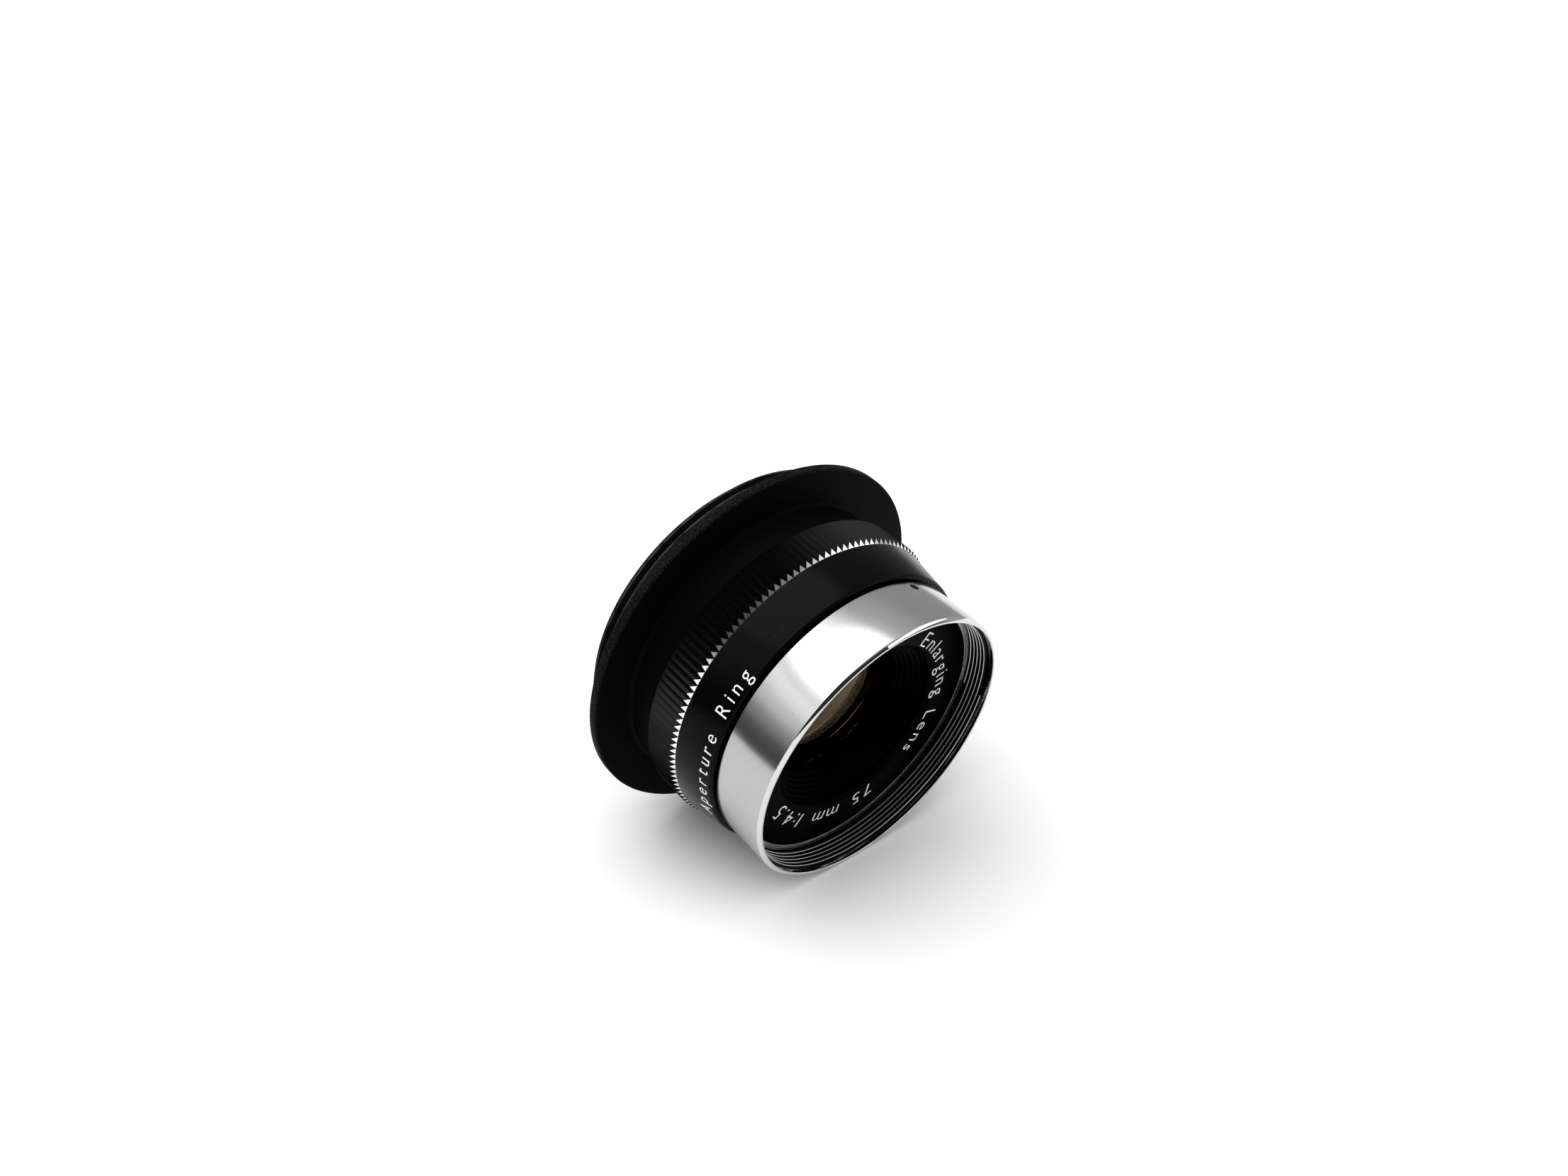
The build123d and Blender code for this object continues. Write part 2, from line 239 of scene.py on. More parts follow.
def turn(piece_name, outline, sides=FINE_SIDES, bevel=0.06, sharp=35):
    """A turned piece: one ring of the outline is pulled along the rest, then joined up.

    An outline is (radius, height) points; a radius of 0 closes the piece on the axis.
    """
    deselect()
    radius, height = outline[0]
    ring = radius or outline[1][0]
    bpy.ops.mesh.primitive_circle_add(vertices=sides, radius=ring * MM)
    piece = start(piece_name)
    bpy.ops.transform.translate(value=(0, 0, height * MM))
    if radius == 0:
        bpy.ops.mesh.extrude_region_move()
        bpy.ops.mesh.merge(type="CENTER")
        choose_corners(piece, lambda place: place.xy.length > ring / 2)
        rest, height = outline[2:], outline[1][1]
        bpy.ops.transform.translate(value=(0, 0, (height - outline[0][1]) * MM))
    else:
        rest = outline[1:]
    for next_radius, next_height in rest:
        pull_up(next_height - height)
        height = next_height
        if next_radius == 0:
            bpy.ops.mesh.merge(type="CENTER")
            return finish_shell(piece, bevel, sharp)
        scale_out(next_radius / ring)
        ring = next_radius
    close_ring()
    return finish_shell(piece, bevel, sharp)


def screw_ridge(piece_name, crest_r, root_r, pitch, bottom, turns, crest_share):
    """A helical thread ridge; crest_share is how wide its crest is against its root."""
    root_share = 0.9
    deselect()
    bpy.ops.mesh.primitive_plane_add(size=1)
    piece = start(piece_name)
    bpy.ops.transform.resize(value=(abs(crest_r - root_r) * MM, root_share * pitch * MM, 1))
    bpy.ops.transform.rotate(value=math.radians(90), orient_axis="X", center_override=(0, 0, 0))
    bpy.ops.transform.translate(value=((crest_r + root_r) / 2 * MM, 0, bottom * MM))
    choose_corners(piece, lambda place: abs(place.x - crest_r) < abs(place.x - root_r))
    bpy.ops.transform.resize(value=(1, 1, crest_share))
    choose_faces(piece, lambda place, normal: True)
    bpy.ops.mesh.delete(type="ONLY_FACE")
    bpy.ops.object.mode_set(mode="OBJECT")
    thread = piece.modifiers.new("Thread", "SCREW")
    thread.axis = "Z"
    thread.angle = 2 * math.pi
    thread.screw_offset = pitch * MM
    thread.iterations = turns
    thread.steps = thread.render_steps = FINE_SIDES
    thread.use_merge_vertices = False
    bpy.ops.object.modifier_apply(modifier=thread.name)
    bpy.ops.object.mode_set(mode="EDIT")
    bpy.ops.mesh.select_all(action="SELECT")
    bpy.ops.mesh.fill_holes(sides=4)
    return finish_shell(piece, bevel=0, sharp=40)


def join(first, *others):
    make_only(first)
    for piece in others:
        piece.select_set(True)
    bpy.ops.object.join()
    return first


def settle(piece, matrix):
    """Put a piece in its place for good, with the place in its mesh."""
    make_only(piece)
    piece.matrix_world = matrix @ piece.matrix_world
    bpy.ops.object.transform_apply(location=True, rotation=True, scale=True)


def sweep_about_axis(piece, angle):
    """Turn a finished piece about the optical axis, in degrees."""
    settle(piece, Matrix.Rotation(math.radians(angle), 4, "Z"))
    return piece


def block(size, place):
    """A plain block to cut with or to lay on as a mark."""
    deselect()
    bpy.ops.mesh.primitive_cube_add(
        size=1, location=[part * MM for part in place], scale=[part * MM for part in size],
    )
    return bpy.context.object


def cut_away(piece, tool):
    """Take the tool's shape out of the piece, and drop the tool."""
    make_only(piece)
    cut = piece.modifiers.new("Cut", "BOOLEAN")
    cut.operation = "DIFFERENCE"
    cut.solver = "EXACT"
    cut.object = tool
    bpy.ops.object.modifier_apply(modifier=cut.name)
    bpy.data.objects.remove(tool)
    return piece


def peg(piece_name, radius, inner, outer, angle, height, sides=32):
    """A round rod that points outwards from the axis."""
    deselect()
    bpy.ops.mesh.primitive_cylinder_add(
        vertices=sides, radius=radius * MM, depth=(outer - inner) * MM,
        location=((inner + outer) / 2 * MM, 0, height * MM), rotation=(0, math.pi / 2, 0),
    )
    piece = bpy.context.object
    piece.name = piece_name
    return sweep_about_axis(piece, angle)


# ---- shader maths ----
class Value:
    """A shader socket in plain expressions: sums, products, powers, and a number minus it."""

    def __init__(self, finish, socket):
        self.finish = finish
        self.socket = socket

    def _join(self, operation, first, second):
        node = self.finish.node("ShaderNodeMath", {"operation": operation}, {0: first, 1: second})
        return Value(self.finish, node.outputs[0])

    def __add__(self, other):
        return self._join("ADD", self, other)

    def __radd__(self, other):
        return self._join("ADD", other, self)

    def __rsub__(self, other):
        return self._join("SUBTRACT", other, self)

    def __mul__(self, other):
        return self._join("MULTIPLY", self, other)

    def __rmul__(self, other):
        return self._join("MULTIPLY", other, self)

    def __pow__(self, other):
        return self._join("POWER", self, other)

    def ramp(self, low, high):
        """0 below low, 1 above high, smooth between."""
        node = self.finish.node(
            "ShaderNodeMapRange", {"interpolation_type": "SMOOTHSTEP"},
            {"Value": self, "From Min": low, "From Max": high},
        )
        return Value(self.finish, node.outputs["Result"])


class Finish:
    """One material, with coordinates in millimetres about the optical axis."""

    def __init__(self, name, **constants):
        self.material = bpy.data.materials.new(name)
        self.material.use_nodes = True
        self.tree = self.material.node_tree
        self.shader = self.tree.nodes["Principled BSDF"]
        for socket, value in constants.items():
            self.shader.inputs[socket.replace("_", " ")].default_value = value
        place = self.node("ShaderNodeTexCoord").outputs["Object"]
        upright = self.node(
            "ShaderNodeMapping", {},
            {"Vector": place, "Rotation": (-LEAN, 0, 0), "Scale": (1 / MM, 1 / MM, 1 / MM)},
        )
        self.place = upright.outputs["Vector"]
        split = self.node("ShaderNodeSeparateXYZ", {}, {"Vector": self.place})
        self.x, self.y, self.z = (Value(self, out) for out in split.outputs)
        self.radius = (self.x * self.x + self.y * self.y) ** 0.5

    def node(self, kind, settings=None, values=None):
        """A node of any kind: its settings first, then the values or links of its sockets."""
        node = self.tree.nodes.new(kind)
        for name, setting in (settings or {}).items():
            setattr(node, name, setting)
        for key, value in (values or {}).items():
            socket = node.inputs[key]
            if isinstance(value, Value):
                self.tree.links.new(value.socket, socket)
            elif isinstance(value, bpy.types.NodeSocket):
                self.tree.links.new(value, socket)
            else:
                socket.default_value = value
        return node

    def noise(self, scale, detail=2.0, stretch=None, offset=0.0):
        """Cloudy noise; stretch is the scale along x, y and z."""
        vector = self.place
        if stretch or offset:
            moved = {"Scale": stretch or (1, 1, 1), "Location": (offset, offset, offset)}
            mapping = self.node("ShaderNodeMapping", {}, {"Vector": self.place, **moved})
            vector = mapping.outputs["Vector"]
        values = {"Vector": vector, "Scale": scale, "Detail": detail}
        return Value(self, self.node("ShaderNodeTexNoise", {}, values).outputs["Fac"])

    def lines(self, per_mm, detail=3.0):
        """Fine rings left by the lathe, read along the tool's path."""
        values = {"W": (self.radius + self.z) * per_mm, "Scale": 1.0, "Detail": detail}
        node = self.node("ShaderNodeTexNoise", {"noise_dimensions": "1D"}, values)
        return Value(self, node.outputs["Fac"])

    def mix(self, amount, first, second):
        """Two colours blended; sockets 6 and 7 are the node's colour inputs."""
        values = {"Factor": amount, 6: first, 7: second}
        return self.node("ShaderNodeMix", {"data_type": "RGBA"}, values).outputs[2]

    def feed(self, **sockets):
        for name, value in sockets.items():
            socket = self.shader.inputs[name.replace("_", " ")]
            source = value.socket if isinstance(value, Value) else value
            self.tree.links.new(source, socket)

    def bump(self, height, depth_mm):
        values = {"Height": height, "Distance": depth_mm * MM, "Strength": 1.0}
        node = self.node("ShaderNodeBump", {}, values)
        self.tree.links.new(node.outputs["Normal"], self.shader.inputs["Normal"])


def grey(level):
    return (level, level, level, 1)


def plated(level):
    """The colour of bright plating, which is very slightly green."""
    return (level, level + 0.005, level, 1)


def satin_front_finish():
    """Satin plated metal with lathe rings, and a polished lip at the front."""
    finish = Finish("satin_front_metal", Metallic=1.0)
    rings = finish.lines(14, detail=4)
    streaks = finish.lines(3.2, detail=2)
    smudges = finish.noise(0.35, 4, stretch=(1, 1, 0.5))
    frost = finish.noise(16, 3, offset=5.0)
    lip = finish.z.ramp(LIP_BACK, LIP_BACK + 0.08)
    pits = finish.noise(3.1, 1).ramp(0.765, 0.79) * (1 - lip)
    base = finish.mix(0.6 * frost + 0.4 * streaks, plated(0.40), plated(0.51))
    base = finish.mix(pits * 0.35, base, grey(0.22))
    base = finish.mix(lip, base, plated(0.64))
    rough = (0.07 + 0.05 * frost + 0.05 * smudges) * (1 - lip) + 0.035
    finish.feed(Base_Color=base, Roughness=rough)
    finish.bump((0.35 * rings + 0.65 * frost) * (1 - lip), 0.0016)
    return finish.material


def thread_finish():
    """The blackened bore of the front ring, bare metal only along the thread's crests."""
    finish = Finish("worn_filter_thread", Specular_IOR_Level=0.04)
    rings = finish.lines(30, detail=2)
    crest = 1 - finish.radius.ramp(FILTER_CREST_R + 0.02, FILTER_CREST_R + 0.09)
    worn = crest * (0.75 + 0.5 * finish.noise(1.1, 3)).ramp(0.55, 0.95)
    base = finish.mix(worn, grey(0.0008), plated(0.66))
    finish.feed(Base_Color=base, Metallic=worn, Roughness=0.34 - 0.14 * worn + 0.1 * rings)
    finish.bump(rings, 0.002)
    return finish.material


def anodised_finish(name, level, rough, gloss, rings_mm, ring_depth, dust=0.0):
    """Black anodised aluminium with lathe rings; dust is how much pale lint shows."""
    finish = Finish(name, Specular_IOR_Level=gloss)
    rings = finish.lines(rings_mm)
    cloud = finish.noise(0.5, 4)
    grain = finish.noise(34, 2, offset=4.0)
    base = finish.mix(cloud, grey(level * 0.7), grey(level * 1.3))
    if dust:
        lint = finish.noise(5.5, 2, offset=11.0).ramp(0.745, 0.80)
        base = finish.mix(lint * dust, base, grey(0.20))
    finish.feed(Base_Color=base, Roughness=rough - 0.05 + 0.06 * rings + 0.05 * cloud)
    finish.bump(rings + 0.6 * grain, ring_depth)
    return finish.material


def flange_finish():
    """Matt black flange whose rim and edges are rubbed to a speckled grey."""
    finish = Finish("flange_black", Specular_IOR_Level=0.02)
    rim = finish.radius.ramp(FLANGE_R - 0.35, FLANGE_R - 0.1)
    grain = finish.noise(7.5, 5)
    fine = finish.noise(22, 2, offset=3.0)
    rings = finish.lines(12)
    worn = rim * grain.ramp(0.42, 0.66)
    base = finish.mix(fine, grey(0.0004), grey(0.0018))
    base = finish.mix(worn * 0.8, base, grey(0.02))
    finish.feed(Base_Color=base, Roughness=0.5 - 0.08 * worn + 0.1 * fine)
    finish.bump(rings * 0.5 + fine * 0.8 + grain * rim, 0.008)
    return finish.material


def mount_thread_finish():
    """Semi-gloss black thread, rubbed grey along its crest."""
    finish = Finish("mount_thread_black", Specular_IOR_Level=0.06)
    rings = finish.lines(9)
    patch = finish.noise(0.8, 4)
    crest = finish.radius.ramp(THREAD_R - 0.12, THREAD_R - 0.04)
    worn = crest * (patch + 0.35 * finish.noise(9, 2, offset=6.0)).ramp(0.5, 0.72)
    base = finish.mix(patch, grey(0.003), grey(0.007))
    base = finish.mix(worn, base, grey(0.035))
    finish.feed(Base_Color=base, Roughness=0.36 - 0.08 * worn + 0.1 * rings)
    finish.bump(rings, 0.003)
    return finish.material


def bright_cut_finish():
    """The bare metal that the chamfer cuts off the knurl."""
    finish = Finish("bright_chamfer", Metallic=1.0)
    rings = finish.lines(20)
    worn = finish.noise(1.4, 3).ramp(0.35, 0.65)
    base = finish.mix(worn, (0.80, 0.80, 0.79, 1), (0.92, 0.92, 0.91, 1))
    finish.feed(Base_Color=base, Roughness=0.14 + 0.10 * rings)
    finish.bump(rings, 0.002)
    return finish.material


COATING_NM = 105
AMBER_GLASS = (0.34, 0.28, 0.19, 1)
AMBER_FILM = (1.0, 0.8, 0.5, 1)


def glass_finish():
    """Polished glass with a single amber coating."""
    finish = Finish(
        "coated_front_glass", Transmission_Weight=1.0, IOR=1.4, Specular_Tint=AMBER_FILM,
        Thin_Film_Thickness=COATING_NM, Thin_Film_IOR=1.38,
    )
    film = finish.noise(0.18, 2)
    dust = finish.noise(6, 1, offset=7.0).ramp(0.78, 0.82)
    clearer = tuple(0.5 + 0.5 * part for part in AMBER_GLASS)
    base = finish.mix(film, AMBER_GLASS, clearer)
    finish.feed(Base_Color=base, Roughness=0.002 + 0.01 * dust)
    return finish.material


def enamel_finish():
    """White paint wiped into the engraving."""
    finish = Finish("engraving_enamel", Specular_IOR_Level=0.3)
    patch = finish.noise(4.5, 3)
    base = finish.mix(patch.ramp(0.3, 0.7), (0.78, 0.78, 0.76, 1), (0.95, 0.95, 0.93, 1))
    finish.feed(Base_Color=base, Roughness=0.5 + 0.2 * patch)
    finish.bump(patch, 0.01)
    return finish.material


def steel_finish(name, level, rough):
    finish = Finish(name, Metallic=1.0)
    grain = finish.noise(12, 3, stretch=(1, 1, 6))
    base = finish.mix(grain, grey(level * 0.8), grey(level * 1.2))
    finish.feed(Base_Color=base, Roughness=rough - 0.05 + 0.15 * grain)
    finish.bump(grain, 0.002)
    return finish.material


def brass_finish():
    finish = Finish("turned_brass", Metallic=1.0)
    rings = finish.lines(16)
    base = finish.mix(rings, (0.52, 0.36, 0.15, 1), (0.72, 0.54, 0.26, 1))
    finish.feed(Base_Color=base, Roughness=0.25 + 0.15 * rings)
    finish.bump(rings, 0.004)
    return finish.material


FRONT_METAL = satin_front_finish()
THREAD_METAL = thread_finish()
BAND_BLACK = anodised_finish(
    "band_satin_black", level=0.0009, rough=0.2, gloss=0.05, rings_mm=12, ring_depth=0.0008, dust=0.3)
GRIP_BLACK = anodised_finish(
    "grip_black", level=0.0012, rough=0.24, gloss=0.11, rings_mm=18, ring_depth=0.001, dust=0.5)
INNER_BLACK = anodised_finish(
    "inner_matt_black", level=0.0005, rough=0.5, gloss=0.02, rings_mm=8, ring_depth=0.004)
REAR_BLACK = anodised_finish(
    "rear_semi_gloss_black", level=0.004, rough=0.3, gloss=0.22, rings_mm=9, ring_depth=0.003, dust=0.4)
NAME_BLACK = anodised_finish(
    "name_ring_black", level=0.0004, rough=0.36, gloss=0.012, rings_mm=16, ring_depth=0.0008, dust=0.3)
FLANGE_BLACK = flange_finish()
MOUNT_THREAD = mount_thread_finish()
BRIGHT_CUT = bright_cut_finish()
GLASS = glass_finish()
ENAMEL = enamel_finish()
DARK_STEEL = steel_finish("blackened_steel", level=0.05, rough=0.35)
BRIGHT_STEEL = steel_finish("polished_steel", level=0.62, rough=0.2)
BRASS = brass_finish()


def paint(piece, *materials):
    piece.data.materials.clear()
    for material in materials:
        piece.data.materials.append(material)


def give_second_finish(piece, test):
    """Put the piece's second material on the faces that pass the test."""
    make_only(piece)
    choose_faces(piece, test)
    piece.active_material_index = 1
    bpy.ops.object.material_slot_assign()
    bpy.ops.object.mode_set(mode="OBJECT")


def hand_over(piece, body, slot, *stands_for):
    """Lay a finished piece down into the lens's place, and fix it to its body."""
    settle(piece, Matrix.Rotation(LEAN, 4, "X"))
    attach(piece, body)
    if stands_for:
        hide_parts(*stands_for)
    return piece


# ---- front ring ----
def build_front_ring():
    ring = turn("front_ring_shell", [
        (TUBE_R, RING_BACK), (RING_R - EDGE, RING_BACK), (RING_R, RING_BACK + EDGE),
        (RING_R, FRONT_FACE - LIP_CUT), (RING_R - LIP_CUT, FRONT_FACE),
        (RIM_BORE + 0.05, FRONT_FACE), (RIM_BORE, FRONT_FACE - 0.06),
        (RIM_BORE, LIP_BACK - 0.2), (FILTER_ROOT_R, LIP_BACK - 0.28),
        (FILTER_ROOT_R, NAME_RING_FACE), (NAME_RING_R, NAME_RING_FACE), (NAME_RING_R, TUBE_END),
        (TUBE_R, TUBE_END),
    ], bevel=0.02, sharp=24)
    for side in (0, 180):
        cut_away(ring, peg("hole", GRUB_R, TUBE_R - 1, RING_R + 1, GRUB_ANGLE + side, GRUB_Z))
    cut_away(ring, peg("dimple", INDEX_R, RING_R - INDEX_DEPTH, RING_R + 1, INDEX_ANGLE, GRUB_Z))
    thread = screw_ridge(
        "thread", FILTER_CREST_R, FILTER_ROOT_R + 0.02, FILTER_PITCH, FILTER_BACK, FILTER_TURNS,
        crest_share=0.12,
    )
    paint(ring, FRONT_METAL, THREAD_METAL)
    paint(thread, THREAD_METAL)

    def in_bore(place, normal):
        return TUBE_END < place.z < LIP_BACK - 0.1 and place.xy.length < FILTER_ROOT_R + 0.04

    give_second_finish(ring, in_bore)
    ring = join(ring, thread)
    return hand_over(ring, "barrel", "satin_chrome", "front_ring")


def build_grub_screws():
    screws = []
    for side in (0, 180):
        angle = GRUB_ANGLE + side
        screw = peg("screw", GRUB_R - 0.03, TUBE_R + 0.05, RING_R - GRUB_SUNK, angle, GRUB_Z)
        cut_away(screw, peg("key", KEY_R, RING_R - KEY_END, RING_R, angle, GRUB_Z, sides=6))
        screws.append(screw)
    screw = join(*screws)
    screw.name = "grub_screw_pair"
    finish_shell(screw, bevel=0.03)
    paint(screw, DARK_STEEL)
    return hand_over(screw, "barrel", "dark_steel", "front_ring_grub_screws")


def build_index_dot():
    dot = peg("index_dot", INDEX_R - FIT, RING_R - INDEX_BACK, RING_R - INDEX_SUNK, INDEX_ANGLE, GRUB_Z)
    finish_shell(dot, bevel=0.04)
    paint(dot, ENAMEL)
    return hand_over(dot, "barrel", "white_paint", "index_mark")


# ---- lettering ----
GLYPH_DEPTH = 0.06
PROUD = 0.012           # paint above the metal
LIFT = PROUD - GLYPH_DEPTH / 2
CAPITAL_SHARE = 0.73    # of the font's size
SPACE_SHARE = 0.55      # a space against the capitals' height
LETTER_THINNING = -0.03

NAME_WORDS = ("Enlarging Lens", 9)      # words and the angle of their middle
NAME_NUMBERS = ("75 mm 1:4.5", -107)
NAME_FEET_R = 11.1
NAME_HEIGHT = 2.0
NAME_GAP = 0.62
BAND_WORDS = ("Aperture Ring", 174.5)
BAND_FEET = 14.0
BAND_HEIGHT = 1.6
BAND_GAP = 0.74
BAND_THINNING = -0.012
SCALE_FEET = 13.3
SCALE_HEIGHT = 1.45
SCALE_GAP = 0.28
TICK_MIDDLE = 14.02
TICK_WIDTH = 0.14
TICK_LENGTH = 0.5


def glyph(character, cap_height, weight):
    """One letter as a thin solid, standing on the x axis and centred on it."""
    deselect()
    bpy.ops.object.text_add()
    letter = bpy.context.object
    letter.data.body = character
    letter.data.size = cap_height * MM / CAPITAL_SHARE
    letter.data.extrude = GLYPH_DEPTH / 2 * MM
    letter.data.offset = weight * MM
    letter.data.resolution_u = 4
    bpy.ops.object.convert(target="MESH")
    finish_shell(letter, bevel=0, sharp=30)
    spans = [corner[0] for corner in letter.bound_box]
    low, high = min(spans), max(spans)
    letter.location.x = -(low + high) / 2
    bpy.ops.object.transform_apply(location=True, rotation=True, scale=True)
    return letter, (high - low) / MM


def write(piece_name, words, middle_angle, radius, cap_height, gap, stand, weight=LETTER_THINNING):
    """Letters round the axis, clockwise as seen from the front.

    stand(angle) gives the matrix that stands a letter on its surface.
    """
    letters = []
    widths = []
    for character in words:
        if character == " ":
            letters.append(None)
            widths.append(SPACE_SHARE * cap_height)
            continue
        letter, width = glyph(character, cap_height, weight)
        letters.append(letter)
        widths.append(width)
    run = sum(widths) + gap * (len(words) - 1)
    place = -run / 2
    kept = []
    for letter, width in zip(letters, widths):
        angle = middle_angle - math.degrees((place + width / 2) / radius)
        place += width + gap
        if letter is None:
            continue
        settle(letter, stand(angle))
        kept.append(letter)
    words_piece = join(*kept)
    words_piece.name = piece_name
    return words_piece


def on_name_ring(radius):
    """Letters lie on the name ring with their feet towards the glass."""
    def stand(angle):
        turned = Matrix.Rotation(math.radians(angle - 90), 4, "Z")
        return turned @ Matrix.Translation((0, radius * MM, (NAME_RING_FACE + LIFT) * MM))
    return stand


BAND_SLOPE = math.atan2(BAND_BACK_R - BAND_FRONT_R, BAND_FRONT - BAND_BACK)


def band_radius(height):
    return BAND_FRONT_R + (BAND_FRONT - height) * math.tan(BAND_SLOPE)


def on_band(height):
    """Letters lie on the cone with their feet towards the front."""
    def stand(angle):
        right = Vector((0, -1, 0))
        up = Vector((math.sin(BAND_SLOPE), 0, -math.cos(BAND_SLOPE)))
        out = right.cross(up)
        basis = Matrix((right, up, out)).transposed().to_4x4()
        basis.translation = Vector(((band_radius(height) + LIFT) * MM, 0, height * MM))
        return Matrix.Rotation(math.radians(angle), 4, "Z") @ basis
    return stand


def build_lettering():
    middle_r = NAME_FEET_R + NAME_HEIGHT / 2
    lie = on_name_ring(NAME_FEET_R)
    kind = write("name_ring_words", *NAME_WORDS, middle_r, NAME_HEIGHT, NAME_GAP, lie)
    power = write("name_ring_numbers", *NAME_NUMBERS, middle_r, NAME_HEIGHT, NAME_GAP, lie)
    words = join(kind, power)
    paint(words, ENAMEL)
    hand_over(words, "barrel", "white_paint")
    title = write(
        "band_words", *BAND_WORDS, band_radius(BAND_FEET), BAND_HEIGHT, BAND_GAP, on_band(BAND_FEET),
        weight=BAND_THINNING,
    )
    paint(title, ENAMEL)
    hand_over(title, "aperture_control", "white_paint")


STOPS = (4.5, 5.6, 8, 11, 16)
RING_TURN = frame["joints"][0]["range_deg"][1]
OPEN_R = 7.4
PIVOT_R = 11.8


def blade_turn(stop):
    hole = OPEN_R * STOPS[0] / stop
    return 2 * math.asin((OPEN_R - hole) / (2 * PIVOT_R))


def build_scale():
    """The stops, each with a tick that comes opposite the index dot."""
    marks = []
    for stop in STOPS:
        angle = INDEX_ANGLE - RING_TURN * blade_turn(stop) / blade_turn(STOPS[-1])
        words = f"{stop:g}"
        marks.append(write(
            "stop", words, angle, band_radius(SCALE_FEET), SCALE_HEIGHT, SCALE_GAP, on_band(SCALE_FEET),
        ))
        tick = block((TICK_WIDTH, TICK_LENGTH, GLYPH_DEPTH), (0, 0, 0))
        settle(tick, on_band(TICK_MIDDLE)(angle))
        marks.append(tick)
    scale = join(*marks)
    scale.name = "stop_scale"
    paint(scale, ENAMEL)
    return hand_over(scale, "aperture_control", "white_paint")


# ---- aperture ring ----
def build_band():
    band = turn("aperture_band", [
        (BAND_BORE, SLEEVE_BACK), (SLEEVE_R, SLEEVE_BACK), (SLEEVE_R, BAND_BACK - FIT),
        (BAND_BACK_R - 0.1, BAND_BACK - FIT), (BAND_BACK_R - FIT, BAND_BACK + 0.08),
        (BAND_FRONT_R + 0.03, BAND_FRONT - 0.16), (BAND_FRONT_R - 0.13, BAND_FRONT),
        (BAND_BORE, BAND_FRONT),
    ], bevel=0.03)
    paint(band, BAND_BLACK)
    return hand_over(band, "aperture_control", "black_gloss", "aperture_ring")


def build_grip():
    """The knurl: a ring whose every other corner is pulled out, chamfered at both ends."""
    sides = 2 * GROOVES
    chamfer = GRIP_R - GRIP_ROOT_R
    deselect()
    bpy.ops.mesh.primitive_circle_add(vertices=sides, radius=GRIP_ROOT_R * MM)
    grip = start("grip_knurl")
    bpy.ops.transform.translate(value=(0, 0, SLEEVE_BACK * MM))

    def move_ridges(height, scale):
        """Move every other corner at this height, then choose the whole loop again."""
        choose_corners(grip, lambda place: False)
        bpy.ops.object.mode_set(mode="OBJECT")
        loop = [corner for corner in grip.data.vertices if abs(corner.co.z / MM - height) < SAME]
        loop.sort(key=lambda corner: math.atan2(corner.co.y, corner.co.x))
        for corner in loop[::2]:
            corner.select = True
        bpy.ops.object.mode_set(mode="EDIT")
        scale_out(scale)
        choose_corners(grip, lambda place: abs(place.z - height) < SAME)

    pull_up(chamfer)
    move_ridges(SLEEVE_BACK + chamfer, GRIP_R / GRIP_ROOT_R)
    pull_up(BAND_BACK - SLEEVE_BACK - 2 * chamfer)
    pull_up(chamfer)
    move_ridges(BAND_BACK, GRIP_ROOT_R / GRIP_R)
    pull_up(0)
    scale_out((SLEEVE_R + FIT) / GRIP_ROOT_R)
    pull_up(SLEEVE_BACK - BAND_BACK)
    close_ring()
    middle = (SLEEVE_BACK + BAND_BACK) / 2
    reach = (BAND_BACK - SLEEVE_BACK) / 2 - chamfer

    def on_chamfer(place, normal):
        return place.xy.length > GRIP_ROOT_R - 0.2 and reach + 0.05 < abs(place.z - middle)

    choose_faces(grip, on_chamfer)
    bpy.ops.mesh.quads_convert_to_tris(quad_method="LONGEST_DIAGONAL")
    finish_shell(grip, bevel=0, sharp=12)
    paint(grip, GRIP_BLACK, BRIGHT_CUT)

    def on_front_cut(place, normal):
        return on_chamfer(place, normal) and normal.z > 0.5 and place.z < BAND_BACK - 0.01

    give_second_finish(grip, on_front_cut)
    return hand_over(grip, "aperture_control", "black_grip", "grip_ring")


# ---- barrel ----
def build_barrel():
    barrel = turn("barrel_body", [
        (REAR_BORE, THREAD_BACK), (THREAD_CORE_R - THREAD_LEAD, THREAD_BACK),
        (THREAD_CORE_R, THREAD_BACK + THREAD_LEAD), (THREAD_CORE_R, 0),
        (FLANGE_R - EDGE, 0), (FLANGE_R, EDGE),
        (FLANGE_R, FLANGE_THICK - EDGE), (FLANGE_R - EDGE, FLANGE_THICK),
        (NECK_R + NECK_FILLET, FLANGE_THICK), (NECK_R, FLANGE_THICK + NECK_FILLET),
        (NECK_R, NECK_END - NECK_EDGE), (NECK_R - NECK_EDGE, NECK_END), (TUBE_R, NECK_END),
        (TUBE_R, TUBE_END), (CELL_R, TUBE_END), (CELL_R, CELL_BACK), (IRIS_BORE, CELL_BACK),
        (IRIS_BORE, IRIS_SHELF), (SHELF_BORE, IRIS_SHELF), (SHELF_BORE, REAR_CELL_FRONT),
        (REAR_BORE, REAR_CELL_FRONT),
    ], bevel=0.03)
    thread = screw_ridge(
        "mount_thread", THREAD_R - 0.01, THREAD_CORE_R - 0.03, THREAD_PITCH, THREAD_BACK + 0.5,
        THREAD_TURNS, crest_share=0.22,
    )
    paint(barrel, FLANGE_BLACK, MOUNT_THREAD)
    paint(thread, MOUNT_THREAD)
    give_second_finish(barrel, lambda place, normal: place.z < -0.005)
    barrel = join(barrel, thread)
    return hand_over(barrel, "barrel", "black_anodised", "main_barrel")


